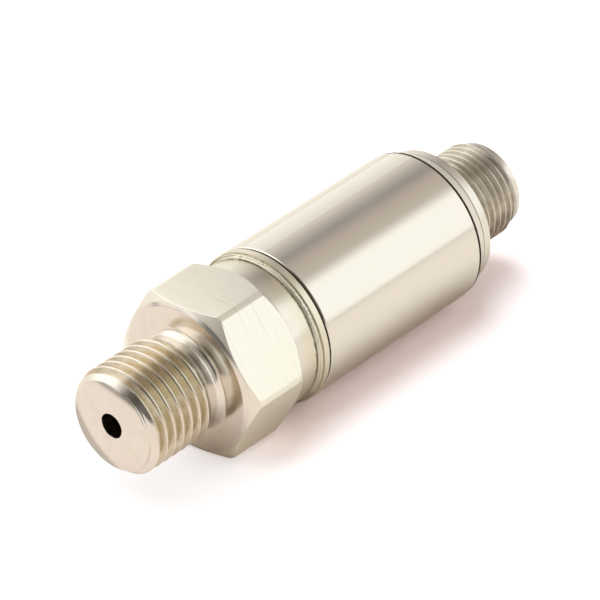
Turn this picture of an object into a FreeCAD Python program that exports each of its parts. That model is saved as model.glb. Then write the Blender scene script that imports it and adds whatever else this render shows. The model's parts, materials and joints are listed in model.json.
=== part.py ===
"""Pressure transmitter with a G 1/4 male process thread and an M12 x 1 male plug.

Millimetres. The part lies along +X: the origin is the centre of the pressure port's
mouth, +X runs from the port to the plug, +Z is up, and two hex flats face +Z and -Z.
The two fine threads are stated by their crest cylinders, run-outs and undercuts.
"""
import FreeCAD, Part
import math
import os

V = FreeCAD.Vector
X_AXIS = V(1, 0, 0)

# ---- clearances -----------------------------------------------------------------------
slip_clear = 0.03          # radial, turned parts that slide into each other
bay_clear = 0.10           # radial, boards and moulded parts in the metal bays
seal_clear = 0.02          # an O-ring to the wall it is squeezed against
slot_clear = 0.06          # board tabs in their slots, board edges in their grooves
moulded_clear = 0.01       # contact pins in the insert moulded round them
solder_clear = 0.05        # pin tails in the plated holes of the terminal board
end_play = 0.10            # axial, what is trapped between two shoulders

# ---- process thread stud: G 1/4 A, ISO 228-1 ------------------------------------------
port_r = 1.55
g14_major_r = 13.157 / 2
lead_chamfer = 0.93        # 45 degrees, crest to the stud's flat face
stud_length = 12.0         # port mouth to the sealing shoulder
thread_length = 8.3        # crest cylinder, from the lead chamfer
undercut_depth = 0.98      # below the crests
runout_length = 0.55
root_fillet = 1.02         # undercut into the sealing shoulder

# ---- hexagon, turned from bar ---------------------------------------------------------
hex_flats = 19.0
hex_corner_trim = 0.22     # turned off the bar's sharp corners
hex_length = 9.35
shoulder_margin = 0.5      # the flat sealing face's edge, inside the flats
front_chamfer_deg = 30.0
rear_chamfer_margin = 0.2
rear_chamfer_deg = 45.0

# ---- neck and weld --------------------------------------------------------------------
neck_step = 0.5            # neck below the shell
neck_length = 3.25
weld_chamfer = 0.30        # each side of the groove that the bead fills
weld_bead_height = 0.28    # bead crown above the neck
weld_bead_flat = 0.16

# ---- measuring cell -------------------------------------------------------------------
cell_neck_r = 4.3
cell_flange_width = 1.8
cell_flange_length = 1.5
cell_length = 7.9
cell_bore_r = 2.2
diaphragm_thickness = 0.4
cell_fillet = 0.4
chamber_depth = 4.0        # in the fitting, from its welded end
gauge_length = 1.8
gauge_width = 0.5
gauge_thickness = 0.1
gauge_offset = 1.5         # from the diaphragm's middle
bond_width = 0.12
bond_thickness = 0.05
bond_loop_height = 0.6

# ---- M12 x 1 plug ---------------------------------------------------------------------
m12_major_r = 5.97
m12_thread_depth = 0.52
m12_relief_length = 0.7    # between the cap and the thread
m12_thread_length = 7.0
m12_runout = 0.3
plug_reach = 9.55          # cap's back face to the plug's rim
rim_chamfer = 0.45
sleeve_wall = 0.85         # under the thread
sleeve_flange_width = 0.93
sleeve_flange_length = 0.8
insert_flange_length = 0.8
lining_wall = 0.5
socket_depth = 7.55        # plug's rim to the insert's face
lining_setback = 1.15      # plug's rim to the lining's edge
key_width = 1.0
key_height = 0.8

contact_count = 4
contact_pitch_r = 2.5
contact_r = 0.5
contact_setback = 1.25     # plug's rim to the contact tips
contact_tip = 0.3
contact_collar_r = 0.75
contact_collar_length = 0.6
contact_collar_depth = 3.2  # insert's face to the collar
contact_tail_r = 0.3
contact_tail_proud = 0.4

# ---- retaining ring behind the insert -------------------------------------------------
clip_thickness = 0.8
clip_groove_depth = 0.45
clip_band = 1.0            # reach inside the bay's wall
clip_gap_deg = 50.0
clip_eye_r = 0.3
clip_eye_deg = 34.0
clip_lug_reach = 0.35

# ---- O-rings: squeezed section, and the walls round the glands -------------------------
shell_seal_r = 0.55        # half the section
gland_width = 1.5
gland_wall = 0.56          # left between a gland and the bay
front_gland_offset = 1.08  # collar to the front gland
rear_gland_offset = 0.70   # cap's spigot end to the rear gland
plug_seal_r = 0.42
plug_gland_width = 1.0
plug_gland_offset = 0.6    # sleeve's flange to the gland
seal_corner = 0.55         # share of the section's half that its bevels take

# ---- housing --------------------------------------------------------------------------
shell_wall = 1.1
shell_length = 25.98
joint_gap = 0.25           # the dark line at each end of the shell
edge_break = 0.12
collar_length = 1.22       # band of the sensor carrier that shows
carrier_spigot_length = 4.68
spigot_lead = 0.18
cell_board_bay_depth = 2.6

# ---- end cap --------------------------------------------------------------------------
cap_spigot_length = 4.5
cap_rim_step = 0.05        # rim below the shell
cap_slope_drop = 0.86      # slope's end below the shell
cap_slope_length = 1.55
cap_back_drop = 0.99       # back edge below the shell
cap_back_length = 1.35
cap_step = 0.05            # turned line between the slope and the back band
cap_wall = 2.2

# ---- circuit boards and their frame ---------------------------------------------------
board_thickness = 1.0
round_board_thickness = 0.8
rail_web = 1.4             # frame's outside to the main board's edge
rail_grip = 0.7            # depth of the board's edge in its groove
rail_half_height = 1.6
ring_length = 1.4
tab_width = 1.2
rear_tab_inset = 1.9       # rear tabs' middle, inside the bay's wall
tab_proud = 0.4
terminal_board_gap = 0.75  # retaining ring to the terminal board
board_end_gap = 0.3        # main board to each end of the frame

# ---- parts on the main board: (length, width, height) and rows ------------------------
amplifier_size = (4.9, 3.9, 1.4)
amplifier_leads = 4        # along each long side
driver_size = (3.6, 3.0, 1.3)
driver_leads = 3
driver_shift = 1.0
capacitor_size = (2.0, 1.25, 0.9)
capacitor_rows = (-3.6, -1.2, 1.2, 3.6)
resistor_size = (1.6, 0.8, 0.45)
resistor_rows = (-3.2, 0.0, 3.2)
diode_size = (3.4, 2.2, 1.6)
diode_rows = (-2.4, 2.4)
lead_reach = 0.9
lead_width = 0.4
lead_thickness = 0.2
chip_standoff = 0.1
end_cap_share = 0.18       # metal end of a surface part, of its length
end_cap_proud = 0.05

# ---- radii worked out from the sizes above ---------------------------------------------
undercut_r = g14_major_r - undercut_depth
stud_face_r = g14_major_r - lead_chamfer
hex_inner_r = hex_flats / 2
hex_corner_r = hex_inner_r / math.cos(math.pi / 6) - hex_corner_trim
shoulder_r = hex_inner_r - shoulder_margin
rear_chamfer_r = hex_inner_r - rear_chamfer_margin
cell_flange_r = cell_neck_r + cell_flange_width
chamber_r = cell_flange_r + bay_clear

m12_pilot_r = m12_major_r - m12_thread_depth
plug_rim_r = m12_pilot_r - rim_chamfer
plug_bore_r = m12_pilot_r - sleeve_wall
socket_r = plug_bore_r - lining_wall
cap_bore_r = m12_major_r + bay_clear
plug_gland_r = cap_bore_r - 2 * plug_seal_r - 2 * seal_clear
bay_r = m12_major_r + sleeve_flange_width
clip_groove_r = bay_r + clip_groove_depth
clip_inner_r = bay_r - clip_band

gland_floor_r = bay_r + gland_wall
shell_inner_r = gland_floor_r + 2 * shell_seal_r + 2 * seal_clear
spigot_r = shell_inner_r - slip_clear
shell_r = shell_inner_r + shell_wall
neck_r = shell_r - neck_step
weld_root_r = neck_r - weld_chamfer

cell_ring_r = (cell_neck_r + 2 * bay_clear + bay_r - bay_clear) / 2
frame_r = shell_inner_r - 2 * bay_clear
board_half_width = frame_r - rail_web
rear_tab_y = bay_r - rear_tab_inset

# ---- stations along the axis -----------------------------------------------------------
thread_end_x = lead_chamfer + thread_length
hex_rear_x = stud_length + hex_length
neck_end_x = hex_rear_x + neck_length
collar_front_x = neck_end_x + weld_chamfer
collar_rear_x = neck_end_x + collar_length
shell_front_x = collar_rear_x + joint_gap
shell_rear_x = shell_front_x + shell_length
cap_front_x = shell_rear_x + joint_gap
cap_spigot_x = cap_front_x - cap_spigot_length
cap_slope_x = cap_front_x + cap_slope_length
cap_back_x = cap_slope_x + cap_back_length
plug_rim_x = cap_back_x + plug_reach

front_gland_x = collar_rear_x + front_gland_offset
rear_gland_x = cap_spigot_x + rear_gland_offset
carrier_rear_x = collar_rear_x + carrier_spigot_length
cell_board_x = carrier_rear_x - cell_board_bay_depth

chamber_x = neck_end_x - chamber_depth
cell_flange_rear_x = chamber_x + cell_flange_length
cell_rear_x = chamber_x + cell_length
cell_board_rear_x = cell_board_x + round_board_thickness

cap_shoulder_x = cap_back_x - cap_wall
sleeve_flange_x = cap_shoulder_x - sleeve_flange_length
insert_flange_x = sleeve_flange_x - insert_flange_length
clip_x = insert_flange_x - end_play - clip_thickness
terminal_board_x = clip_x - terminal_board_gap - round_board_thickness
plug_gland_x = cap_shoulder_x + plug_gland_offset
m12_start_x = cap_back_x + m12_relief_length
m12_end_x = m12_start_x + m12_thread_length
insert_face_x = plug_rim_x - socket_depth
lining_end_x = plug_rim_x - lining_setback
contact_tip_x = plug_rim_x - contact_setback

frame_front_x = carrier_rear_x + end_play
frame_rear_x = cap_spigot_x - end_play
board_front_x = frame_front_x + board_end_gap
board_rear_x = frame_rear_x - board_end_gap


# ---- shapes ---------------------------------------------------------------------------
def turned(profile):
    """Revolve an (x, r) outline about the X axis. ("arc", through, to) is an arc."""
    edges = []
    here = profile[0]
    for step in profile[1:] + [profile[0]]:
        start = V(here[0], 0, here[1])
        if step[0] == "arc":
            through, here = step[1], step[2]
            middle = V(through[0], 0, through[1])
            edges.append(Part.Arc(start, middle, V(here[0], 0, here[1])).toShape())
        else:
            here = step
            edges.append(Part.LineSegment(start, V(here[0], 0, here[1])).toShape())
    return Part.Face(Part.Wire(edges)).revolve(V(0, 0, 0), X_AXIS, 360)


def rod(x_from, x_to, r, y=0.0, z=0.0):
    """A cylinder along X."""
    return Part.makeCylinder(r, x_to - x_from, V(x_from, y, z), X_AXIS)


def washer(x_from, x_to, r_inner, r_outer):
    """A plain ring about the X axis."""
    return rod(x_from, x_to, r_outer).cut(rod(x_from, x_to, r_inner))


def block(x_span, y_span, z_span):
    """A box from its three spans, each in either order."""
    spans = [sorted(span) for span in (x_span, y_span, z_span)]
    size = [high - low for low, high in spans]
    return Part.makeBox(*size, V(*[low for low, high in spans]))


def about(middle, width):
    """The span of a width about its middle."""
    return middle - width / 2, middle + width / 2


def round_places(r, angles_deg):
    """(y, z) of points on a circle, by their angles from +Y towards +Z."""
    turns = [math.radians(a) for a in angles_deg]
    return [(r * math.cos(a), r * math.sin(a)) for a in turns]


def seal_ring(x_middle, floor_r, section_r):
    """O-ring squeezed in its gland: a round cord with its four sides pressed flat."""
    bevel = section_r * seal_corner
    r_low, r_high = floor_r + seal_clear, floor_r + seal_clear + 2 * section_r
    x_low, x_high = x_middle - section_r, x_middle + section_r
    return turned([
        (x_low + bevel, r_low),
        (x_low, r_low + bevel),
        (x_low, r_high - bevel),
        (x_low + bevel, r_high),
        (x_high - bevel, r_high),
        (x_high, r_high - bevel),
        (x_high, r_low + bevel),
        (x_high - bevel, r_low),
    ])


def concave_step(x_face, r_floor, radius, side):
    """Arc from a cylinder of r_floor up to a face at x_face; side is +1 if it faces +X."""
    lean = radius * (1 - math.sqrt(0.5))
    return "arc", (x_face + side * lean, r_floor + lean), (x_face, r_floor + radius)


# ---- pressure side --------------------------------------------------------------------
def threaded_stud():
    """Crest cylinder with its lead chamfer, run-out, undercut and root fillet."""
    return turned([
        (0, 0),
        (0, stud_face_r),
        (lead_chamfer, g14_major_r),
        (thread_end_x, g14_major_r),
        (thread_end_x + runout_length, undercut_r),
        (stud_length - root_fillet, undercut_r),
        concave_step(stud_length, undercut_r, root_fillet, -1),
        (stud_length, 0),
    ])


def hexagon():
    """Hex bar with its corners turned off and both ends chamfered."""
    front_drop = (hex_corner_r - shoulder_r) * math.tan(math.radians(front_chamfer_deg))
    rear_drop = (hex_corner_r - rear_chamfer_r) * math.tan(math.radians(rear_chamfer_deg))
    blank = turned([
        (stud_length, 0),
        (stud_length, shoulder_r),
        (stud_length + front_drop, hex_corner_r),
        (hex_rear_x - rear_drop, hex_corner_r),
        (hex_rear_x, rear_chamfer_r),
        (hex_rear_x, 0),
    ])
    sharp_r = hex_inner_r / math.cos(math.pi / 6)
    corners = [V(stud_length, y, z) for y, z in round_places(sharp_r, range(0, 360, 60))]
    outline = Part.Face(Part.makePolygon(corners + [corners[0]]))
    return blank.common(outline.extrude(V(hex_length, 0, 0)))


def weld_neck():
    """Neck behind the hexagon, bevelled at its end for the weld."""
    return turned([
        (hex_rear_x, 0),
        (hex_rear_x, neck_r),
        (neck_end_x - weld_chamfer, neck_r),
        (neck_end_x, weld_root_r),
        (neck_end_x, 0),
    ])


def process_fitting():
    """Stud, hexagon and neck in one, bored for the port and the measuring cell."""
    fitting = threaded_stud().fuse([hexagon(), weld_neck()])
    fitting = fitting.cut(rod(0, chamber_x, port_r))
    fitting = fitting.cut(rod(chamber_x, neck_end_x, chamber_r))
    return fitting.removeSplitter()


def weld_seam():
    """Bead that fills the groove between the fitting's neck and the sensor carrier."""
    crown_r = neck_r + weld_bead_height
    return turned([
        (neck_end_x - weld_chamfer, neck_r),
        (neck_end_x, weld_root_r),
        (collar_front_x, neck_r),
        (collar_front_x, crown_r - weld_bead_flat / 2),
        (neck_end_x + weld_bead_flat, crown_r),
        (neck_end_x, crown_r),
    ])


def sensor_carrier():
    """Collar that clamps the cell's flange and carries the shell on its sealed spigot."""
    bore_r = cell_neck_r + bay_clear
    return turned([
        (cell_flange_rear_x, bore_r + cell_fillet),
        (cell_flange_rear_x, cell_flange_r),
        (neck_end_x, cell_flange_r),
        (neck_end_x, weld_root_r),
        (collar_front_x, neck_r),
        (collar_front_x, shell_r),
        (collar_rear_x - edge_break, shell_r),
        (collar_rear_x, shell_r - edge_break),
        (collar_rear_x, spigot_r),
        (front_gland_x, spigot_r),
        (front_gland_x, gland_floor_r),
        (front_gland_x + gland_width, gland_floor_r),
        (front_gland_x + gland_width, spigot_r),
        (carrier_rear_x - spigot_lead, spigot_r),
        (carrier_rear_x, spigot_r - spigot_lead),
        (carrier_rear_x, bay_r),
        (cell_board_x, bay_r),
        (cell_board_x, bore_r),
        (cell_flange_rear_x + cell_fillet, bore_r),
    ])


def measuring_cell():
    """Steel cup whose closed end is the diaphragm that the pressure bends."""
    floor_x = cell_rear_x - diaphragm_thickness
    return turned([
        (cell_rear_x, 0),
        (cell_rear_x, cell_neck_r),
        (cell_flange_rear_x + cell_fillet, cell_neck_r),
        concave_step(cell_flange_rear_x, cell_neck_r, cell_fillet, 1),
        (cell_flange_rear_x, cell_flange_r),
        (chamber_x, cell_flange_r),
        (chamber_x, cell_bore_r),
        (floor_x - cell_fillet, cell_bore_r),
        (floor_x, cell_bore_r - cell_fillet),
        (floor_x, 0),
    ])


def strain_gauges():
    """Two silicon gauges fused on the diaphragm, above and below its middle."""
    x_span = (cell_rear_x, cell_rear_x + gauge_thickness)
    rows = (gauge_offset, -gauge_offset)
    return Part.makeCompound([
        block(x_span, about(0, gauge_length), about(z, gauge_width)) for z in rows
    ])


def bond_ribbon(y, side):
    """Stiff bonding ribbon from a gauge's end, over a loop, down to the cell board."""
    feet = [
        (cell_rear_x + gauge_thickness, gauge_offset),
        (cell_board_rear_x, cell_ring_r),
    ]
    loop_x = max(x for x, z in feet) + bond_loop_height
    lean = bond_loop_height / 2
    line = [feet[0], (loop_x, gauge_offset + lean), (loop_x, cell_ring_r - lean), feet[1]]
    upper = [(x + bond_thickness, z) for x, z in line]
    outline = [V(x, y - bond_width / 2, side * z) for x, z in line + upper[::-1]]
    return Part.Face(Part.makePolygon(outline + [outline[0]])).extrude(V(0, bond_width, 0))


def bond_wires():
    """Four looped ribbons from the gauges' ends to pads on the cell board."""
    end_y = (gauge_length - bond_width) / 2
    return Part.makeCompound([bond_ribbon(y, side) for y in (end_y, -end_y) for side in (1, -1)])


def tab_slots(x, tab_y):
    """The pair of slots for the main board's tabs in a round board at x."""
    x_span = (x, x + round_board_thickness)
    y_size = tab_width + 2 * slot_clear
    z_span = about(0, board_thickness + 2 * slot_clear)
    return Part.makeCompound([block(x_span, about(y, y_size), z_span) for y in (tab_y, -tab_y)])


def cell_board():
    """Ring board round the cell's head, slotted for the main board's front tabs."""
    inner_r = cell_neck_r + 2 * bay_clear
    board = washer(cell_board_x, cell_board_rear_x, inner_r, bay_r - bay_clear)
    return board.cut(tab_slots(cell_board_x, cell_ring_r))


# ---- housing --------------------------------------------------------------------------
def housing_tube():
    """Polished shell between the two dark joint lines."""
    return turned([
        (shell_front_x, shell_inner_r),
        (shell_front_x, shell_r - edge_break),
        (shell_front_x + edge_break, shell_r),
        (shell_rear_x - edge_break, shell_r),
        (shell_rear_x, shell_r - edge_break),
        (shell_rear_x, shell_inner_r),
    ])


def shell_seal(gland_x):
    """O-ring in a spigot's gland, against the shell's bore."""
    return seal_ring(gland_x + gland_width / 2, gland_floor_r, shell_seal_r)


def end_cap():
    """Cap with its sealed spigot, the clip's groove and the bore that the plug fills."""
    rim_r = shell_r - cap_rim_step
    slope_r = shell_r - cap_slope_drop
    back_r = shell_r - cap_back_drop
    groove_front_x = clip_x - end_play / 2
    groove_rear_x = clip_x + clip_thickness + end_play / 2
    return turned([
        (cap_spigot_x, bay_r),
        (cap_spigot_x, spigot_r - spigot_lead),
        (cap_spigot_x + spigot_lead, spigot_r),
        (rear_gland_x, spigot_r),
        (rear_gland_x, gland_floor_r),
        (rear_gland_x + gland_width, gland_floor_r),
        (rear_gland_x + gland_width, spigot_r),
        (cap_front_x, spigot_r),
        (cap_front_x, rim_r),
        (cap_slope_x, slope_r),
        (cap_slope_x, slope_r - cap_step),
        (cap_back_x - edge_break, back_r),
        (cap_back_x, back_r - edge_break),
        (cap_back_x, cap_bore_r),
        (cap_shoulder_x, cap_bore_r),
        (cap_shoulder_x, bay_r),
        (groove_rear_x, bay_r),
        (groove_rear_x, clip_groove_r),
        (groove_front_x, clip_groove_r),
        (groove_front_x, bay_r),
    ])


# ---- M12 plug -------------------------------------------------------------------------
def connector_sleeve():
    """Threaded sleeve, seated by its flange inside the cap and sealed in its bore."""
    flange_r = bay_r - slip_clear
    gland_end_x = plug_gland_x + plug_gland_width
    return turned([
        (sleeve_flange_x, plug_bore_r),
        (sleeve_flange_x, flange_r),
        (cap_shoulder_x, flange_r),
        (cap_shoulder_x, m12_major_r),
        (plug_gland_x, m12_major_r),
        (plug_gland_x, plug_gland_r),
        (gland_end_x, plug_gland_r),
        (gland_end_x, m12_major_r),
        (cap_back_x, m12_major_r),
        (cap_back_x, m12_pilot_r),
        (m12_start_x - m12_thread_depth, m12_pilot_r),
        (m12_start_x, m12_major_r),
        (m12_end_x, m12_major_r),
        (m12_end_x + m12_runout, m12_pilot_r),
        (plug_rim_x - rim_chamfer, m12_pilot_r),
        (plug_rim_x, plug_rim_r),
        (plug_rim_x, plug_bore_r),
    ])


def connector_seal():
    """O-ring between the sleeve and the cap's bore."""
    return seal_ring(plug_gland_x + plug_gland_width / 2, plug_gland_r, plug_seal_r)


def contact_places():
    """(y, z) of each contact, on the diagonals."""
    pitch = 360 / contact_count
    return round_places(contact_pitch_r, [pitch * (k + 0.5) for k in range(contact_count)])


def contact_pin(y, z, grow=0.0):
    """Turned contact: tip, collar held in the insert, and solder tail; grow is all round."""
    collar_rear_x = insert_face_x - contact_collar_depth
    collar_x = collar_rear_x - contact_collar_length
    shank_x = insert_flange_x - 2 * end_play
    tail_x = terminal_board_x - contact_tail_proud
    pin = turned([
        (tail_x - grow, 0),
        (tail_x - grow, contact_tail_r + grow),
        (shank_x - grow, contact_tail_r + grow),
        (shank_x - grow, contact_r + grow),
        (collar_x - grow, contact_r + grow),
        (collar_x - grow, contact_collar_r + grow),
        (collar_rear_x + grow, contact_collar_r + grow),
        (collar_rear_x + grow, contact_r + grow),
        (contact_tip_x - contact_tip, contact_r + grow),
        (contact_tip_x + grow, contact_r - contact_tip + grow),
        (contact_tip_x + grow, 0),
    ])
    pin.translate(V(0, y, z))
    return pin


def connector_insert():
    """Keyed insulator: flange, body round the contacts and lining with the coding rib."""
    body_r = plug_bore_r - slip_clear
    flange_r = bay_r - bay_clear
    insert = turned([
        (insert_flange_x, 0),
        (insert_flange_x, flange_r),
        (sleeve_flange_x, flange_r),
        (sleeve_flange_x, body_r),
        (lining_end_x, body_r),
        (lining_end_x, socket_r),
        (insert_face_x, socket_r),
        (insert_face_x, 0),
    ])
    key_top = (socket_r + body_r) / 2
    key = block((insert_face_x, lining_end_x), about(0, key_width), (socket_r - key_height, key_top))
    insert = insert.fuse(key)
    for y, z in contact_places():
        insert = insert.cut(contact_pin(y, z, moulded_clear))
    return insert.removeSplitter()


def retaining_ring():
    """Internal circlip behind the insert's flange, with an eye in each lug."""
    rear_x = clip_x + clip_thickness
    lug_r = bay_r - clip_inner_r
    eye_angles = (-90 - clip_eye_deg, -90 + clip_eye_deg)
    ring = washer(clip_x, rear_x, clip_inner_r, clip_groove_r - slip_clear)
    reach = 2 * clip_groove_r
    spread = reach * math.tan(math.radians(clip_gap_deg / 2))
    corners = [V(clip_x, 0, 0), V(clip_x, spread, -reach), V(clip_x, -spread, -reach)]
    gap = Part.Face(Part.makePolygon(corners + [corners[0]]))
    ring = ring.cut(gap.extrude(V(clip_thickness, 0, 0)))
    lug_ring = washer(clip_x, rear_x, clip_inner_r - clip_lug_reach, bay_r - bay_clear)
    for y, z in round_places((clip_inner_r + bay_r) / 2, eye_angles):
        ring = ring.fuse(lug_ring.common(rod(clip_x, rear_x, lug_r, y, z)))
    for y, z in round_places(clip_inner_r + clip_eye_r, eye_angles):
        ring = ring.cut(rod(clip_x, rear_x, clip_eye_r, y, z))
    return ring.removeSplitter()


def terminal_board():
    """Round board that joins the contacts' tails to the main board's rear tabs."""
    rear_x = terminal_board_x + round_board_thickness
    board = rod(terminal_board_x, rear_x, bay_r - bay_clear)
    for y, z in contact_places():
        board = board.cut(rod(terminal_board_x, rear_x, contact_tail_r + solder_clear, y, z))
    return board.cut(tab_slots(terminal_board_x, rear_tab_y))


# ---- electronics ----------------------------------------------------------------------
def main_board():
    """Long board in the middle plane, with tabs into both round boards."""
    z_span = about(0, board_thickness)
    board = block((board_front_x, board_rear_x), about(0, 2 * board_half_width), z_span)
    front_span = (cell_board_x + tab_proud / 2, board_front_x)
    rear_span = (board_rear_x, terminal_board_x + round_board_thickness + tab_proud)
    for x_span, tab_y in ((front_span, cell_ring_r), (rear_span, rear_tab_y)):
        for y in (tab_y, -tab_y):
            board = board.fuse(block(x_span, about(y, tab_width), z_span))
    return board.removeSplitter()


def board_frame():
    """Moulded frame: two rings joined by grooved rails that hold the board's edges."""
    x_span = (frame_front_x, frame_rear_x)
    ring_inner_r = board_half_width + 2 * bay_clear
    frame = washer(frame_front_x, frame_front_x + ring_length, ring_inner_r, frame_r)
    frame = frame.fuse(washer(frame_rear_x - ring_length, frame_rear_x, ring_inner_r, frame_r))
    envelope = rod(frame_front_x, frame_rear_x, frame_r)
    for side in (1, -1):
        y_span = (side * (board_half_width - rail_grip), side * frame_r)
        rail = block(x_span, y_span, about(0, 2 * rail_half_height))
        frame = frame.fuse(rail.common(envelope))
    groove_width = 2 * (board_half_width + slot_clear)
    groove = block(x_span, about(0, groove_width), about(0, board_thickness + 2 * slot_clear))
    return frame.cut(groove).removeSplitter()


def chip(x, size, lead_count):
    """Moulded chip on the board's top, with flat leads along both long sides."""
    length, width, height = size
    top = board_thickness / 2
    body_z = (top + chip_standoff, top + chip_standoff + height)
    body = block(about(x, length), about(0, width), body_z)
    pitch = length / lead_count
    for k in range(lead_count):
        lead_x = x - length / 2 + pitch * (k + 0.5)
        y_span = about(0, width + 2 * lead_reach)
        body = body.fuse(block(about(lead_x, lead_width), y_span, (top, top + lead_thickness)))
    return body.removeSplitter()


def surface_part(x, y, size, side):
    """Two-ended surface part on the board's top (+1) or underside (-1)."""
    length, width, height = size
    low = board_thickness / 2
    body = block(about(x, length), about(y, width), (low + end_cap_proud, low + height))
    cap_z = (low, low + height + end_cap_proud)
    for end in (1, -1):
        tip = x + end * (length / 2 + end_cap_proud)
        cap_x = (tip, tip - end * end_cap_share * length)
        body = body.fuse(block(cap_x, about(y, width + 2 * end_cap_proud), cap_z))
    body = body.removeSplitter()
    if side < 0:
        body.rotate(V(0, 0, 0), X_AXIS, 180)
    return body


def surface_parts(stations, rows, size, side):
    """A group of equal surface parts, one at each station and row."""
    return Part.makeCompound([surface_part(x, y, size, side) for x in stations for y in rows])


def build():
    """Every piece by its name."""
    quarter = (board_rear_x - board_front_x) / 4
    stations = [board_front_x + quarter * (k + 0.5) for k in range(4)]
    parts = {
        "process_fitting": process_fitting(),
        "weld_seam": weld_seam(),
        "sensor_carrier": sensor_carrier(),
        "measuring_cell": measuring_cell(),
        "strain_gauges": strain_gauges(),
        "bond_wires": bond_wires(),
        "cell_board": cell_board(),
        "front_seal": shell_seal(front_gland_x),
        "housing_tube": housing_tube(),
        "rear_seal": shell_seal(rear_gland_x),
        "end_cap": end_cap(),
        "connector_sleeve": connector_sleeve(),
        "connector_seal": connector_seal(),
        "connector_insert": connector_insert(),
        "retaining_ring": retaining_ring(),
        "terminal_board": terminal_board(),
        "main_board": main_board(),
        "board_frame": board_frame(),
        "amplifier_chip": chip(stations[1], amplifier_size, amplifier_leads),
        "output_driver": chip(stations[2] + driver_shift, driver_size, driver_leads),
        "capacitors": surface_parts(stations[:1], capacitor_rows, capacitor_size, 1),
        "resistors": surface_parts(stations[1:3], resistor_rows, resistor_size, -1),
        "protection_diodes": surface_parts(stations[3:], diode_rows, diode_size, -1),
    }
    for number, (y, z) in enumerate(contact_places(), start=1):
        parts[f"contact_pin_{number}"] = contact_pin(y, z)
    return parts


os.makedirs("parts", exist_ok=True)
for name, shape in build().items():
    shape.exportStep(f"parts/{name}.step")
    print(f"{name}: {len(shape.Solids)} solid(s), {shape.Volume:.1f} mm3, valid {shape.isValid()}")
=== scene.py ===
"""Looks of the pressure transmitter: helical threads, weld ripples, metal finishes, studio."""

import json
import math

import bmesh
import bpy
from mathutils import Matrix, Vector


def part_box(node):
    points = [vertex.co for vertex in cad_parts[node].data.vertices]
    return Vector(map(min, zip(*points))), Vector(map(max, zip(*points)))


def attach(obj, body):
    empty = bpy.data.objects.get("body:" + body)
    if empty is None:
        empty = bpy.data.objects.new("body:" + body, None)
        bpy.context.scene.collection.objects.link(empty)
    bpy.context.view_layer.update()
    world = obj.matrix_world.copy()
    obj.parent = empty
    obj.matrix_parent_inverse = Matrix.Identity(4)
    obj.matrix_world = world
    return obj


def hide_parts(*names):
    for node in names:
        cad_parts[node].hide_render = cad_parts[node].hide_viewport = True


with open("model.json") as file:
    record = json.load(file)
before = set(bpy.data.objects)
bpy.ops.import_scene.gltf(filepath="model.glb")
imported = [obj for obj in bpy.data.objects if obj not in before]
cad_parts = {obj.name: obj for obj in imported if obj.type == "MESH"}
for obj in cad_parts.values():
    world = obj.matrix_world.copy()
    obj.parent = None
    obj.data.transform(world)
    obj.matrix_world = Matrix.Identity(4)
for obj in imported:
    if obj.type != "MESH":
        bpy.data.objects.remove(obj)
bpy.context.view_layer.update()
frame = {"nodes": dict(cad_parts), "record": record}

mm = 0.001
micron = 1e-6
mounts = {m["name"]: m for m in frame["record"]["mounts"]}


def high(node, axis):
    """High corner of a CAD node along an axis: 0 is X, 1 is Y, 2 is Z."""
    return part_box(node)[1][axis]


def low_x(node):
    """Where a CAD node starts along the part."""
    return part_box(node)[0][0]


def mount_size(name, size):
    """A stated size of a mount, in metres."""
    return mounts[name]["dims"][size] * mm


# ---- process fitting ------------------------------------------------------------------
port_r = mount_size("pressure_port", "r_mm")
port_length = mount_size("pressure_port", "length_mm")
stud_crest_r = mount_size("process_thread", "r_mm")
stud_thread_length = mount_size("process_thread", "length_mm")
stud_pitch = 1.337 * mm
stud_tooth = 0.856 * mm
stud_phase = 0.36              # share of a pitch that the first crest is turned by
lead_chamfer = 0.93 * mm
stud_runout = 0.55 * mm
stud_thread_end = lead_chamfer + stud_thread_length + stud_runout
stud_face_r = stud_crest_r - lead_chamfer
undercut_r = stud_crest_r - 0.98 * mm
root_fillet = 1.02 * mm
shoulder_x = mounts["sealing_shoulder"]["pos_m"][0]
hex_inner_r = high("process_fitting", 2)
hex_corner_r = high("process_fitting", 1)
shoulder_r = hex_inner_r - 0.5 * mm
front_chamfer_slope = math.tan(math.radians(30))
rear_chamfer_r = hex_inner_r - 0.2 * mm
neck_end_x = high("process_fitting", 0)
neck_r = hex_inner_r - 0.3 * mm
hex_rear_x = neck_end_x - 3.25 * mm
weld_groove = 0.3 * mm
chamber_r = 6.2 * mm
edge_ease = 0.06 * mm

# ---- plug -----------------------------------------------------------------------------
plug_crest_r = mount_size("plug_thread", "r_mm")
plug_thread_length = mount_size("plug_thread", "length_mm")
plug_pitch = 1.0 * mm
plug_tooth = 0.5 * mm
plug_phase = 0.2
plug_relief_r = plug_crest_r - 0.52 * mm
plug_back_x = high("end_cap", 0)
cap_step_x = plug_back_x - 1.35 * mm
plug_thread_x = plug_back_x + 0.7 * mm
plug_runout = 0.3 * mm
plug_thread_start = plug_thread_x - (plug_crest_r - plug_relief_r)
plug_thread_end = plug_thread_x + plug_thread_length + plug_runout
plug_rim_x = high("connector_sleeve", 0)
plug_rim_r = 5.0 * mm
plug_bore_r = 4.6 * mm
plug_seat_x = low_x("connector_sleeve")
plug_seat_r = high("connector_sleeve", 2)
plug_flange_x = plug_back_x - 1.8 * mm

# ---- weld -----------------------------------------------------------------------------
weld_x = (low_x("weld_seam") + high("weld_seam", 0)) / 2
weld_crown_r = high("weld_seam", 2)
weld_spots = 118
weld_spot_length = 0.62 * mm
weld_spot_width = 0.46 * mm
weld_spot_height = 0.05 * mm
weld_spot_lean = 0.12          # radians either way
weld_spot_spread = 0.2         # share by which a spot is larger or smaller
weld_wander = 0.05 * mm
# where a line of painted shade lies, in the crevice between the neck and the weld ring
crevice_shade_x = neck_end_x - 0.45 * mm

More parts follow.
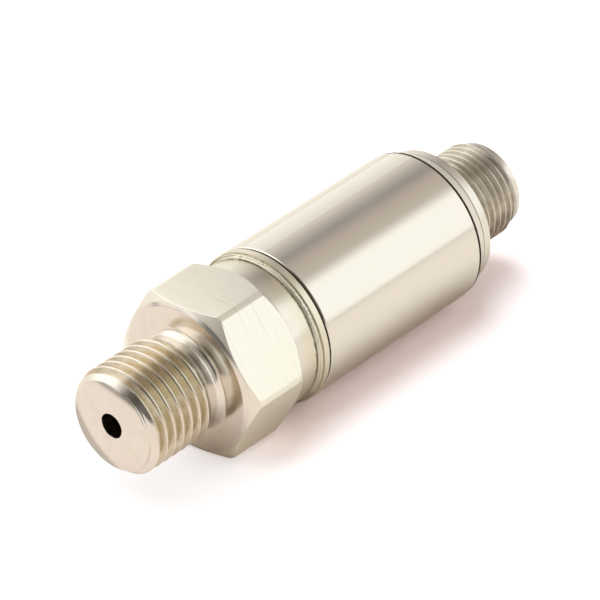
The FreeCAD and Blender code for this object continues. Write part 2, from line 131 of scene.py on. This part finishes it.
# ---- fineness of the meshes -----------------------------------------------------------
turn_columns = 360
rows_a_pitch = 20
fillet_steps = 12
same_point = 2 * micron
eased_angle = math.radians(20)           # edges sharper than this get a small round
turned_sharp_angle = math.radians(16)
thread_sharp_angle = math.radians(50)


# ---- node trees -----------------------------------------------------------------------
class Value:
    """A socket; arithmetic on it adds Math nodes to its tree."""

    def __init__(self, sheet, socket):
        self.sheet = sheet
        self.socket = socket

    def math(self, operation, *others):
        inputs = dict(enumerate((self, *others)))
        return self.sheet.add("ShaderNodeMath", {"operation": operation}, inputs)

    def output(self, name):
        """Another output of the same node."""
        return Value(self.sheet, self.socket.node.outputs[name])

    def between(self, start, end):
        """0 below start, 1 above end, and a smooth step from one to the other."""
        settings = {"interpolation_type": "SMOOTHSTEP"}
        return self.sheet.add("ShaderNodeMapRange", settings, {0: self, 1: start, 2: end})

    def __add__(self, other):
        return self.math("ADD", other)

    def __sub__(self, other):
        return self.math("SUBTRACT", other)

    def __rsub__(self, other):
        return self.math("MULTIPLY_ADD", -1.0, other)

    def __mul__(self, other):
        return self.math("MULTIPLY", other)

    def __truediv__(self, other):
        return self.math("DIVIDE", other)

    __radd__ = __add__
    __rmul__ = __mul__


class Sheet:
    """Adds nodes to one tree."""

    def __init__(self, tree):
        self.tree = tree

    def add(self, kind, settings=None, sockets=None, output=0):
        """A node of a kind, its settings, then its sockets' values or links."""
        node = self.tree.nodes.new(kind)
        for name, setting in (settings or {}).items():
            if name == "stops":
                self.set_stops(node.color_ramp, setting)
            else:
                setattr(node, name, setting)
        for name, value in (sockets or {}).items():
            if isinstance(value, Value):
                self.tree.links.new(value.socket, node.inputs[name])
            else:
                node.inputs[name].default_value = value
        return Value(self, node.outputs[output]) if node.outputs else None

    @staticmethod
    def set_stops(ramp, stops):
        while len(ramp.elements) < len(stops):
            ramp.elements.new(0.5)
        for element, (position, colour) in zip(ramp.elements, stops):
            element.position = position
            element.color = (*colour, 1)

    def mixed(self, factor, first, second):
        """Colour that goes from first to second."""
        first, second = [(*c, 1) if isinstance(c, tuple) else c for c in (first, second)]
        return self.add("ShaderNodeMix", {"data_type": "RGBA"}, {0: factor, 6: first, 7: second}, 2)

    def vector(self, x, y, z):
        return self.add("ShaderNodeCombineXYZ", {}, {0: x, 1: y, 2: z})

    def noise(self, vector, size, detail=2.0, rough=0.5):
        """Noise of 0 to 1 whose blotches are about that size."""
        sockets = {"Vector": vector, "Scale": 1 / size, "Detail": detail, "Roughness": rough}
        return self.add("ShaderNodeTexNoise", {}, sockets)


class Finish(Sheet):
    """A material, with the places that turned pieces need: along, out from and round the axis."""

    def __init__(self, name):
        self.material = bpy.data.materials.new(name)
        self.material.use_nodes = True
        super().__init__(self.material.node_tree)
        self.tree.nodes.clear()
        self.place = self.add("ShaderNodeTexCoord", output="Object")
        self.along = self.add("ShaderNodeSeparateXYZ", {}, {0: self.place})
        self.y, self.z = self.along.output("Y"), self.along.output("Z")
        self.out = (self.y * self.y + self.z * self.z).math("SQRT")

    def rings(self, size, detail=2.0, reach=0.0):
        """Noise in rings about the axis; reach lets them fade within that many radians."""
        turn = 0.0
        if reach:
            turn = self.z.math("ARCTAN2", self.y).math("ABSOLUTE") * (size / reach)
        return self.noise(self.vector(self.along, self.out, turn), size, detail)

    def relief(self, height, depth):
        """Bumps as deep as depth where the height is 1."""
        sockets = {"Strength": 1.0, "Distance": depth, "Height": height}
        return self.add("ShaderNodeBump", {}, sockets)

    def surface(self, **sockets):
        """Ends the material with its shader; _ stands for a space in a socket's name."""
        named = {name.replace("_", " "): value for name, value in sockets.items()}
        for name, value in named.items():
            if isinstance(value, tuple):
                named[name] = (*value, 1)
        shader = self.add("ShaderNodeBsdfPrincipled", {}, named)
        self.add("ShaderNodeOutputMaterial", {}, {"Surface": shader})
        return self.material


# ---- threads --------------------------------------------------------------------------
def thread_tree(thread_metal):
    """Helical thread on a grid: rows follow the helix, columns go once round.

    The profile is a clipped triangle wave, rounded at crest and root, and kept under a
    cone that leads in at the start and another that runs out at the end."""
    tree = bpy.data.node_groups.new("thread", "GeometryNodeTree")
    sizes = ["Crest", "Tooth", "Pitch", "Phase", "Start", "End", "Lead Radius", "Lead Slope",
             "Runout Radius", "Runout Slope", "Crest Width", "Crest Round", "Root Round"]
    tree.interface.new_socket("Geometry", in_out="INPUT", socket_type="NodeSocketGeometry")
    tree.interface.new_socket("Rows", in_out="INPUT", socket_type="NodeSocketInt")
    tree.interface.new_socket("Columns", in_out="INPUT", socket_type="NodeSocketInt")
    tree.interface.new_socket("Rows a Pitch", in_out="INPUT", socket_type="NodeSocketFloat")
    for size in sizes:
        tree.interface.new_socket(size, in_out="INPUT", socket_type="NodeSocketFloat")
    tree.interface.new_socket("Geometry", in_out="OUTPUT", socket_type="NodeSocketGeometry")
    sheet = Sheet(tree)
    given = sheet.add("NodeGroupInput")
    rows, columns = given.output("Rows"), given.output("Columns")
    crest, tooth, pitch, phase, start, end, lead_r, lead_slope, runout_r, runout_slope, \
        crest_width, crest_round, root_round = [given.output(size) for size in sizes]

    grid = sheet.add("GeometryNodeMeshGrid", {}, {2: rows + 1.0, 3: columns + 1.0})
    here = sheet.add("ShaderNodeSeparateXYZ", {}, {0: sheet.add("GeometryNodeInputPosition")})
    share, turn = here + 0.5, here.output("Y") + 0.5
    step = pitch / given.output("Rows a Pitch")
    helix = start - pitch + share * rows * step
    along = (helix + turn * pitch).math("MAXIMUM", start).math("MINIMUM", end)

    cycle = ((helix - start) / pitch + phase).math("FRACT")
    wave = 1.0 - (cycle * 2.0 - 1.0).math("ABSOLUTE")
    flank = (wave - 1.0 + crest_width) * 1.5 + 1.0
    profile = flank.math("SMOOTH_MIN", 1.0, crest_round).math("SMOOTH_MAX", 0.0, root_round)
    out = crest - tooth + profile * tooth
    out = out.math("MINIMUM", lead_r + (along - start) * lead_slope)
    out = out.math("MINIMUM", runout_r + (end - along) * runout_slope)

    angle = turn * math.tau
    place = sheet.vector(along, out * angle.math("COSINE"), out * angle.math("SINE"))
    helical = sheet.add("GeometryNodeSetPosition", {}, {"Geometry": grid, "Position": place})
    closed = sheet.add(
        "GeometryNodeMergeByDistance", {}, {"Geometry": helical, "Distance": micron})
    real = sheet.add("GeometryNodeRealizeInstances", {}, {"Geometry": closed})
    painted = sheet.add("GeometryNodeSetMaterial", {}, {"Geometry": real, "Material": thread_metal})
    sheet.add("NodeGroupOutput", {}, {"Geometry": painted})
    return tree


def grown(tree, sizes):
    """The plain mesh that a node tree makes from its named sizes."""
    seed = bpy.data.objects.new("seed", bpy.data.meshes.new("seed"))
    bpy.context.scene.collection.objects.link(seed)
    modifier = seed.modifiers.new("grow", "NODES")
    modifier.node_group = tree
    for item in tree.interface.items_tree:
        if item.in_out == "INPUT" and item.name in sizes:
            modifier[item.identifier] = sizes[item.name]
    shown = seed.evaluated_get(bpy.context.evaluated_depsgraph_get())
    mesh = bpy.data.meshes.new_from_object(shown)
    bpy.data.objects.remove(seed)
    return mesh


def helical_thread(tree, **sizes):
    """A thread from Start to End; sizes are the tree's inputs, with _ for a space."""
    named = {name.replace("_", " "): value for name, value in sizes.items()}
    step = named["Pitch"] / rows_a_pitch
    named["Rows"] = math.ceil((named["End"] - named["Start"] + named["Pitch"]) / step)
    named["Rows a Pitch"] = float(rows_a_pitch)
    named["Columns"] = turn_columns
    mesh = grown(tree, named)
    mesh.set_sharp_from_angle(angle=thread_sharp_angle)
    return mesh


# ---- turned bodies --------------------------------------------------------------------
def turned_body(outline, metal, corners=()):
    """Lathe an outline of (x, r) rows, open between its first and last rows.

    A row's x and r are numbers or functions of the angle. Columns nearest to the
    corners' angles move onto them, except in the two end rows."""
    evenly = [math.tau * k / turn_columns for k in range(turn_columns)]
    snapped = list(evenly)
    for corner in corners:
        snapped[round(corner / math.tau * turn_columns) % turn_columns] = corner
    body = bmesh.new()
    rings = []
    for number, (x, r) in enumerate(outline):
        angles = evenly if number in (0, len(outline) - 1) else snapped
        ring = []
        for angle in angles:
            along = x(angle) if callable(x) else x
            out = r(angle) if callable(r) else r
            ring.append(body.verts.new((along, out * math.cos(angle), out * math.sin(angle))))
        rings.append(ring)
    for first, second in zip(rings, rings[1:]):
        for k in range(turn_columns):
            after = (k + 1) % turn_columns
            body.faces.new((first[k], first[after], second[after], second[k]))
    body.normal_update()
    crisp = [e for e in body.edges if e.is_manifold and e.calc_face_angle() > eased_angle]
    bmesh.ops.bevel(body, geom=crisp, offset=edge_ease, segments=2, profile=0.5,
                    affect="EDGES", clamp_overlap=True)
    mesh = bpy.data.meshes.new("turned")
    body.to_mesh(mesh)
    body.free()
    mesh.materials.append(metal)
    for face in mesh.polygons:
        face.use_smooth = True
    mesh.set_sharp_from_angle(angle=turned_sharp_angle)
    return mesh


def closed_piece(name, meshes, metal, slot, *replaced):
    """One piece from meshes whose edges meet, standing for CAD nodes."""
    whole = bmesh.new()
    for mesh in meshes:
        whole.from_mesh(mesh)
    bmesh.ops.remove_doubles(whole, verts=whole.verts, dist=same_point)
    bmesh.ops.recalc_face_normals(whole, faces=whole.faces)
    mesh = bpy.data.meshes.new(name)
    whole.to_mesh(mesh)
    whole.free()
    mesh.materials.append(metal)
    for face in mesh.polygons:
        face.use_smooth = True
        face.material_index = 0
    piece = bpy.data.objects.new(name, mesh)
    bpy.context.scene.collection.objects.link(piece)
    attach(piece, "root")
    if replaced:
        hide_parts(*replaced)
    return piece


def hexagon_r(angle):
    """Radius of the hexagon with its corners turned off; a flat faces +Z."""
    from_flat = angle % (math.pi / 3) - math.pi / 6
    return min(hex_inner_r / math.cos(from_flat), hex_corner_r)


def hexagon_front_x(angle):
    """Where the front chamfer meets the hexagon's sides."""
    return shoulder_x + (hexagon_r(angle) - shoulder_r) * front_chamfer_slope


def hexagon_rear_x(angle):
    """Where the rear chamfer, of 45 degrees, meets the hexagon's sides."""
    return hex_rear_x - hexagon_r(angle) + rear_chamfer_r


def stud_fillet():
    """Quarter round from the undercut up to the sealing shoulder."""
    places = []
    for step in range(fillet_steps + 1):
        turn = math.radians(90) * step / fillet_steps
        along = shoulder_x - root_fillet * (1 - math.sin(turn))
        places.append((along, undercut_r + root_fillet * (1 - math.cos(turn))))
    return places


def stud_and_hexagon(metal, tree):
    """Stud with its thread, undercut, hexagon and neck, bored from both ends."""
    thread = helical_thread(
        tree, Crest=stud_crest_r, Tooth=stud_tooth, Pitch=stud_pitch, Phase=stud_phase,
        Start=0.0, End=stud_thread_end, Lead_Radius=stud_face_r, Lead_Slope=1.0,
        Runout_Radius=undercut_r, Runout_Slope=(stud_crest_r - undercut_r) / stud_runout,
        Crest_Width=0.05, Crest_Round=0.05, Root_Round=0.3)
    outline = [
        (stud_thread_end, undercut_r),
        *stud_fillet(),
        (shoulder_x, shoulder_r),
        (hexagon_front_x, hexagon_r),
        (hexagon_rear_x, hexagon_r),
        (hex_rear_x, rear_chamfer_r),
        (hex_rear_x, neck_r),
        (neck_end_x - weld_groove, neck_r),
        (neck_end_x, neck_r - weld_groove),
        (neck_end_x, chamber_r),
        (port_length, chamber_r),
        (port_length, port_r),
        (0.0, port_r),
        (0.0, stud_face_r),
    ]
    half_flat = math.acos(hex_inner_r / hex_corner_r)
    corners = [
        math.pi / 6 + math.pi / 3 * k + side * half_flat for k in range(6) for side in (-1, 1)
    ]
    body = turned_body(outline, metal, corners)
    return closed_piece(
        "stud_and_hexagon", [body, thread], metal, "turned_steel", "process_fitting")


def plug_sleeve(metal, tree):
    """Sleeve of the plug with its fine thread, relief, pilot and rim."""
    thread = helical_thread(
        tree, Crest=plug_crest_r, Tooth=plug_tooth, Pitch=plug_pitch, Phase=plug_phase,
        Start=plug_thread_start, End=plug_thread_end, Lead_Radius=plug_relief_r, Lead_Slope=1.0,
        Runout_Radius=plug_relief_r, Runout_Slope=(plug_crest_r - plug_relief_r) / plug_runout,
        Crest_Width=0.06, Crest_Round=0.06, Root_Round=0.25)
    outline = [
        (plug_thread_end, plug_relief_r),
        (plug_rim_x - (plug_relief_r - plug_rim_r), plug_relief_r),
        (plug_rim_x, plug_rim_r),
        (plug_rim_x, plug_bore_r),
        (plug_seat_x, plug_bore_r),
        (plug_seat_x, plug_seat_r),
        (plug_flange_x, plug_seat_r),
        (plug_flange_x, plug_relief_r),
        (plug_thread_start, plug_relief_r),
    ]
    body = turned_body(outline, metal)
    return closed_piece(
        "threaded_plug_sleeve", [body, thread], metal, "plug_metal", "connector_sleeve")


# ---- weld -----------------------------------------------------------------------------
def ripple_tree(weld_metal):
    """Overlapping flat spots that a pulsed weld leaves round the joint."""
    tree = bpy.data.node_groups.new("weld ripples", "GeometryNodeTree")
    tree.interface.new_socket("Geometry", in_out="INPUT", socket_type="NodeSocketGeometry")
    tree.interface.new_socket("Spots", in_out="INPUT", socket_type="NodeSocketInt")
    sizes = ["Radius", "Along", "Spot Length", "Spot Width", "Spot Height", "Wander"]
    for size in sizes:
        tree.interface.new_socket(size, in_out="INPUT", socket_type="NodeSocketFloat")
    tree.interface.new_socket("Geometry", in_out="OUTPUT", socket_type="NodeSocketGeometry")
    sheet = Sheet(tree)
    given = sheet.add("NodeGroupInput")
    radius, along, spot_length, spot_width, spot_height, wander = [
        given.output(size) for size in sizes
    ]
    count = given.output("Spots")
    line = sheet.add("GeometryNodeMeshLine", {}, {"Count": count, "Offset": (0, 0, 0)})
    number = sheet.add("GeometryNodeInputIndex")
    angle = number / count * math.tau

    def drawn(low, high, seed):
        """A random number for each spot."""
        sockets = {2: low, 3: high, "ID": number, "Seed": seed}
        return sheet.add("FunctionNodeRandomValue", {}, sockets, 1)

    drift = drawn(-1.0, 1.0, 3)
    place = sheet.vector(along + drift * wander, radius * angle.math("COSINE"),
                         radius * angle.math("SINE"))
    round_joint = sheet.add("GeometryNodeSetPosition", {}, {"Geometry": line, "Position": place})
    spot = sheet.add("GeometryNodeMeshUVSphere", {}, {"Segments": 14, "Rings": 8, "Radius": 0.5})
    lean = drawn(-weld_spot_lean, weld_spot_lean, 8)
    growth = drawn(1 - weld_spot_spread, 1 + weld_spot_spread, 5)
    spots = sheet.add("GeometryNodeInstanceOnPoints", {}, {
        "Points": round_joint,
        "Instance": spot,
        "Rotation": sheet.vector(angle, 0.0, lean),
        "Scale": sheet.vector(spot_width * growth, spot_height * 2.0, spot_length * growth),
    })
    real = sheet.add("GeometryNodeRealizeInstances", {}, {"Geometry": spots})
    painted = sheet.add("GeometryNodeSetMaterial", {}, {"Geometry": real, "Material": weld_metal})
    sheet.add("NodeGroupOutput", {}, {"Geometry": painted})
    return tree


def weld_ripples(metal):
    """Ring of weld spots on the seam's crown."""
    mesh = grown(ripple_tree(metal), {
        "Spots": weld_spots, "Radius": weld_crown_r, "Along": weld_x, "Wander": weld_wander,
        "Spot Length": weld_spot_length, "Spot Width": weld_spot_width,
        "Spot Height": weld_spot_height,
    })
    return closed_piece("weld_ripples", [mesh], metal, "weld_steel")


# ---- finishes -------------------------------------------------------------------------
steel = (0.82, 0.775, 0.72)
# paler colour painted on the hexagon's flats, a painted sheen
flat_painted_sheen = (0.93, 0.90, 0.82)
steel_straw = (0.78, 0.735, 0.61)
steel_shade = (0.68, 0.625, 0.56)
# painted shade for the crevice between the neck and the weld ring
crevice_shade_colour = (0.22, 0.19, 0.15)
oil_gold = (0.68, 0.59, 0.40)
oil_brown = (0.42, 0.35, 0.27)
plug_tan = (0.52, 0.47, 0.40)
plug_brown = (0.36, 0.315, 0.26)
groove_dark = (0.12, 0.1, 0.08)


def threaded_steel(name, crest_r, tooth, thread_span, film, film_shade, film_share):
    """Fine turned steel: film on the thread's flanks, milled flats with a painted sheen, straw tint
    by the weld, and painted shade in the crevice beside it.
    """
    finish = Finish(name)
    marks = finish.rings(0.09 * mm, 3.0, 0.5)
    coarse = finish.rings(0.5 * mm, 2.0)
    blotch = finish.noise(finish.place, 1.6 * mm, 3.0)
    grain = finish.noise(finish.place, 0.1 * mm, 3.0, 0.7)
    first, last = thread_span
    in_thread = finish.along.between(first, first + 0.3 * mm) * (
        1.0 - finish.along.between(last - 0.2 * mm, last))
    below_crest = 1.0 - finish.out.between(crest_r - 0.14 * tooth, crest_r - 0.02 * tooth)
    oil = in_thread * below_crest * (blotch.between(0.3, 0.6) * 0.4 + 0.6) * film_share
    oil_colour = finish.mixed(grain.between(0.3, 0.8), film, film_shade)
    on_flat = finish.out.between(hex_inner_r - 0.03 * mm, hex_inner_r - 0.01 * mm)
    on_neck = finish.along.between(hex_rear_x - 0.1 * mm, hex_rear_x)
    milled = finish.noise(
        finish.vector(finish.along, 0.0, finish.y * 0.03), 0.3 * mm, 3.0, 0.75)
    base = finish.mixed(blotch.between(0.4, 0.75) * 0.25, steel, steel_shade)
    # Painted sheen: the flats get a paler colour than the turned steel, standing in for the
    # brighter light they scatter.
    base = finish.mixed(on_flat, base, flat_painted_sheen)
    base = finish.mixed(on_flat * milled.between(0.52, 0.72) * 0.4, base, steel_shade)
    base = finish.mixed(straw_tint(finish, blotch), base, steel_straw)
    # Painted shade: a dark line, broken up by the grain, in the crevice where the neck meets the
    # weld ring.
    off_crevice_shade = (finish.along - crevice_shade_x).math("ABSOLUTE")
    crevice_shade = (1.0 - off_crevice_shade.between(0.06 * mm, 0.25 * mm)) * grain.between(0.42, 0.62)
    base = finish.mixed(crevice_shade * 0.85, base, crevice_shade_colour)
    rough = 0.15 + marks * 0.05 + oil * grain * 0.14 + on_flat * 0.26 + on_neck * 0.08
    height = marks + coarse * 0.8 + oil * grain * 2.0 + on_flat * milled * 8.0
    return finish.surface(
        Base_Color=finish.mixed(oil, base, oil_colour), Metallic=1.0, Roughness=rough,
        Normal=finish.relief(height, 1.2 * micron))


def straw_tint(finish, blotch):
    """Share of the pale heat colour that welding leaves on both sides of the seam."""
    off_seam = (finish.along - weld_x).math("ABSOLUTE")
    near = 1.0 - off_seam.between(1.0 * mm, 3.2 * mm)
    return near * (blotch.between(0.25, 0.6) * 0.5 + 0.5)


def scuffed_ring(name, scuffing, groove_x=None):
    """Turned ring with a fine blasted sparkle, and a thin dark line if it has a groove."""
    finish = Finish(name)
    marks = finish.rings(0.1 * mm, 3.0, 0.3)
    blotch = finish.noise(finish.place, 1.2 * mm, 3.0)
    sparkle = finish.noise(finish.place, 0.11 * mm, 2.0, 0.8)
    base = finish.mixed(straw_tint(finish, blotch), steel, steel_straw)
    base = finish.mixed(sparkle.between(0.5, 0.75) * scuffing, base, steel_shade)
    rough = 0.2 + marks * 0.06 + sparkle * 0.16
    height = marks + sparkle * 5.0
    if groove_x is not None:
        off_groove = (finish.along - groove_x).math("ABSOLUTE")
        groove = 1.0 - off_groove.between(0.06 * mm, 0.15 * mm)
        base = finish.mixed(groove * 0.9, base, groove_dark)
        rough = rough + groove * 0.2
        height = height - groove * 4.0
    return finish.surface(Base_Color=base, Metallic=1.0, Roughness=rough,
                          Normal=finish.relief(height, 1.6 * micron))


def polished_shell():
    """Polished tube with faint circular brushing and a few handling marks."""
    finish = Finish("polished_steel")
    marks = finish.rings(0.06 * mm, 2.0, 0.4)
    smear = finish.noise(finish.place, 5 * mm, 4.0, 0.6)
    rough = 0.13 + marks * 0.05 + smear.between(0.45, 0.8) * 0.05
    normal = finish.relief(marks + smear * 6.0, 0.5 * micron)
    return finish.surface(Base_Color=steel, Metallic=1.0, Roughness=rough, Normal=normal)


def plain_metal(name, colour, roughness, grain_size, grain_depth):
    """A metal with an even grain."""
    finish = Finish(name)
    grain = finish.noise(finish.place, grain_size, 3.0, 0.6)
    rough = roughness + (grain - 0.5) * 0.2
    shade = tuple(part * 0.75 for part in colour)
    base = finish.mixed(grain.between(0.4, 0.75) * 0.5, colour, shade)
    return finish.surface(Base_Color=base, Metallic=1.0, Roughness=rough,
                          Normal=finish.relief(grain, grain_depth))


def moulded(name, colour, roughness, grain_size, grain_depth, **more):
    """A plastic, rubber or ceramic with a fine skin."""
    finish = Finish(name)
    grain = finish.noise(finish.place, grain_size, 3.0, 0.6)
    patch = finish.noise(finish.place, grain_size * 12, 2.0)
    base = finish.mixed(patch, colour, tuple(part * 0.8 for part in colour))
    return finish.surface(Base_Color=base, Roughness=roughness + (grain - 0.5) * 0.15,
                          Normal=finish.relief(grain, grain_depth), **more)


slot_finishes = {
    "turned_steel": threaded_steel(
        "turned_steel", stud_crest_r, stud_tooth,
        (0.9 * lead_chamfer, stud_thread_end),
        oil_gold, oil_brown, 0.8),
    "polished_steel": polished_shell(),
    "weld_steel": plain_metal("weld_steel", (0.82, 0.78, 0.69), 0.4, 0.13 * mm, 30 * micron),
    "plug_metal": threaded_steel(
        "plug_metal", plug_crest_r, plug_tooth,
        (plug_thread_x - 0.4 * mm, plug_thread_end),
        plug_tan, plug_brown, 0.95),
    "cell_steel": plain_metal("cell_steel", (0.62, 0.61, 0.60), 0.3, 0.1 * mm, 1 * micron),
    "spring_steel": plain_metal("spring_steel", (0.2, 0.2, 0.21), 0.45, 0.08 * mm, 2 * micron),
    "bond_wire": plain_metal("bond_wire", (0.85, 0.85, 0.86), 0.25, 0.03 * mm, 1 * micron),
    "contact_gold": plain_metal("contact_gold", (0.93, 0.70, 0.30), 0.2, 0.06 * mm, 1 * micron),
    "silicon": moulded("silicon", (0.1, 0.11, 0.13), 0.25, 0.05 * mm, 0.5 * micron),
    "circuit_board": moulded("circuit_board", (0.02, 0.16, 0.06), 0.35, 0.15 * mm, 3 * micron),
    "seal_rubber": moulded("seal_rubber", (0.02, 0.02, 0.02), 0.6, 0.08 * mm, 3 * micron),
    "insert_plastic": moulded("insert_plastic", (0.018, 0.018, 0.02), 0.42, 0.1 * mm, 3 * micron),
    "frame_plastic": moulded("frame_plastic", (0.55, 0.52, 0.45), 0.5, 0.1 * mm, 3 * micron),
    "chip_plastic": moulded("chip_plastic", (0.03, 0.03, 0.032), 0.55, 0.05 * mm, 3 * micron),
    "capacitor_ceramic": moulded(
        "capacitor_ceramic", (0.42, 0.3, 0.18), 0.45, 0.06 * mm, 2 * micron),
    "resistor_ceramic": moulded(
        "resistor_ceramic", (0.05, 0.05, 0.055), 0.4, 0.06 * mm, 2 * micron),
}
node_finishes = {
    "sensor_carrier": scuffed_ring("collar_steel", 0.4),
    "end_cap": scuffed_ring("cap_steel", 0.15, cap_step_x),
}


# ---- studio ---------------------------------------------------------------------------
camera_azimuth = math.radians(-45.02)
camera_elevation = math.radians(32.11)
camera_roll = math.radians(-4.93)
camera_distance = 519.48 * mm
camera_across = 21.04 * mm     # to the right of the line through the port's mouth
camera_up = 14.07 * mm         # above that line
camera_lens = 279.3
camera_near = 0.01
camera_far = 20

sky_peak = 1.6                 # the ramps hold shares of this brightness
sky_cut_on_matt = 0.45         # share of the sky that matt surfaces don't get
gap_black = (0.0, 0.0, 0.0)
overhead_white = (1.0, 0.96, 0.9)

lamp_side = 0.85
lamp_energy = 6.7
lamp_colour = (0.86, 1.0, 0.99)
lamp_place = Vector((-0.1, 0.21, 0.8))
lamp_target = Vector((0.03, 0, 0))

table_reach = 2.0
table_pale = (0.98, 0.86, 0.79)
table_seen = (1.66, 1.46, 1.54)     # over 1, so that the open table reads as white
glow_pale = (1.02, 0.89, 0.80)
glow_seen = (1.0, 0.99, 0.98)


def place_camera():
    """Camera that looks along the part from the port's side."""
    level_back = Vector((math.sin(camera_azimuth), -math.cos(camera_azimuth), 0))
    overhead = Vector((0, 0, 1))
    back = level_back * math.cos(camera_elevation) + overhead * math.sin(camera_elevation)
    level = Vector((math.cos(camera_azimuth), math.sin(camera_azimuth), 0))
    upright = back.cross(level)
    right = level * math.cos(camera_roll) + upright * math.sin(camera_roll)
    up = back.cross(right)
    camera = bpy.data.objects.new("camera", bpy.data.cameras.new("camera"))
    camera.data.lens = camera_lens
    camera.data.clip_start = camera_near
    camera.data.clip_end = camera_far
    turn = Matrix((right, up, back)).transposed().to_4x4()
    stand = back * camera_distance + right * camera_across + up * camera_up
    camera.matrix_world = Matrix.Translation(stand) @ turn
    bpy.context.scene.collection.objects.link(camera)
    bpy.context.scene.camera = camera


def light_world():
    """Soft boxes round the part, others round what lies ahead of the port, and dark gaps."""
    world = bpy.data.worlds.new("studio")
    bpy.context.scene.world = world
    world.use_nodes = True
    sheet = Sheet(world.node_tree)
    sheet.tree.nodes.clear()
    direction = sheet.add("ShaderNodeTexCoord", output="Generated")
    rearward = sheet.add("ShaderNodeSeparateXYZ", {}, {0: direction})
    side = rearward.output("Y")
    turn = rearward.output("Z").math("ARCTAN2", side) * (1 / math.pi)
    rear_boxes = soft_boxes(sheet, turn, [
        (0, (1.15, 1.14, 1.06)), (28, (1.02, 1.0, 0.92)), (42, (0.86, 0.83, 0.76)),
        (52, (0.64, 0.60, 0.55)), (72, (0.36, 0.34, 0.32)), (90, (0.56, 0.5, 0.44)),
        (113, (0.62, 0.57, 0.5)), (127, (1.17, 1.19, 1.13)), (180, (1.17, 1.19, 1.13)),
    ])
    front_boxes = soft_boxes(sheet, turn, [
        (0, (1.02, 0.96, 0.89)), (14, (1.28, 1.23, 1.15)), (26, (1.53, 1.49, 1.4)),
        (58, (1.48, 1.44, 1.33)), (73, (0.82, 0.77, 0.68)), (97, (0.38, 0.36, 0.31)),
        (122, (0.30, 0.28, 0.23)), (146, (0.62, 0.6, 0.54)), (180, (0.48, 0.45, 0.4)),
    ])
    glow = sheet.mixed(rearward.between(-0.25, 0.15), front_boxes, rear_boxes)
    rear_gap = rearward.between(0.62, 0.74) * side.between(0.1, 0.3) * 0.42
    front_gap = (1.0 - rearward.between(-0.75, -0.6)) * (turn.between(0.4, 0.53) * 0.48 + 0.22)
    straight_ahead = 1.0 - rearward.between(-0.95, -0.86)
    straight_ahead = straight_ahead * (0.87 - turn.between(0.45, 0.6) * 0.45)
    gaps = rear_gap + front_gap.math("MAXIMUM", straight_ahead)
    glow = sheet.mixed(gaps, glow, gap_black)
    overhead = turn.between(0.04, 0.12) * (1.0 - turn.between(0.36, 0.46))
    overhead = overhead * (1.0 - rearward.between(0.38, 0.55)) * rearward.between(-0.25, 0.0)
    glow = sheet.mixed(overhead, glow, overhead_white)
    rays = sheet.add("ShaderNodeLightPath")
    strength = (1.0 - rays.output("Is Diffuse Ray") * sky_cut_on_matt) * sky_peak
    sky = sheet.add("ShaderNodeBackground", {}, {"Color": glow, "Strength": strength})
    sheet.add("ShaderNodeOutputWorld", {}, {"Surface": sky})


def soft_boxes(sheet, turn, stops):
    """Brightness round the part's axis, by degrees over the horizon on its +Y side."""
    shares = [
        (degrees / 180, tuple(part / sky_peak for part in colour)) for degrees, colour in stops
    ]
    return sheet.add("ShaderNodeValToRGB", {"stops": shares}, {0: turn})


def light_lamp():
    """Large soft lamp above the part, which metal doesn't mirror."""
    data = bpy.data.lights.new("key", "AREA")
    data.shape = "SQUARE"
    data.size = lamp_side
    data.energy = lamp_energy
    data.color = lamp_colour
    lamp = bpy.data.objects.new("key", data)
    lamp.location = lamp_place
    aim = lamp_target - lamp_place
    lamp.rotation_mode = "QUATERNION"
    lamp.rotation_quaternion = aim.to_track_quat("-Z", "Y")
    lamp.visible_glossy = False
    bpy.context.scene.collection.objects.link(lamp)


def pale_table():
    """Matt table, whitened for the camera, glowing under the stud so that its shadow fades, and
    painted darker in reflections far ahead of the port.
    """
    table = Finish("pale_table")
    rays = table.add("ShaderNodeLightPath")
    # Painted reflection: for glossy rays the table darkens towards black, from 7 cm ahead of the
    # port and by three quarters from 20 cm, so metal mirrors a dark region there.
    painted_dark_reflection_ahead = rays.output("Is Glossy Ray") * (1.0 - table.along.between(-0.2, -0.07))
    colour = table.mixed(painted_dark_reflection_ahead * 0.75, table_pale, gap_black)
    colour = table.mixed(rays.output("Is Camera Ray"), colour, table_seen)
    matt = table.add("ShaderNodeBsdfDiffuse", {}, {"Color": colour})
    glow = table.mixed(rays.output("Is Camera Ray"), glow_pale, glow_seen)
    glowing = table.add("ShaderNodeEmission", {}, {"Color": glow, "Strength": 1.0})
    seen = rays.output("Is Camera Ray") * (1.0 - table.along.between(6 * mm, 22 * mm)) * 0.85
    mirrored = rays.output("Is Glossy Ray") * (1.0 - table.along.between(0.0, 13 * mm)) * 0.65
    by_stud = seen + mirrored * (1.0 - painted_dark_reflection_ahead)
    blend = table.add("ShaderNodeMixShader", {}, {0: by_stud, 1: matt, 2: glowing})
    table.add("ShaderNodeOutputMaterial", {}, {"Surface": blend})
    return table.material


def lay_floor():
    """Plain pale table that the tube's lowest line lies on."""
    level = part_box("housing_tube")[0][2]
    corners = [
        (x * table_reach, y * table_reach, level)
        for x, y in ((-1, -1), (1, -1), (1, 1), (-1, 1))
    ]
    mesh = bpy.data.meshes.new("floor")
    mesh.from_pydata(corners, [], [(0, 1, 2, 3)])
    mesh.materials.append(pale_table())
    piece = bpy.data.objects.new("floor", mesh)
    bpy.context.scene.collection.objects.link(piece)


# ---- the whole ------------------------------------------------------------------------
for entry in frame["record"]["subparts"]:
    finish_of_slot = slot_finishes[entry["material_slot"]]
    for held in frame["nodes"][entry["node"]].material_slots:
        held.material = node_finishes.get(entry["node"], finish_of_slot)

threads = thread_tree(slot_finishes["turned_steel"])
stud_and_hexagon(slot_finishes["turned_steel"], threads)
plug_sleeve(slot_finishes["plug_metal"], threads)
weld_ripples(slot_finishes["weld_steel"])

place_camera()
light_world()
light_lamp()
lay_floor()
bpy.context.scene.view_settings.view_transform = "Standard"
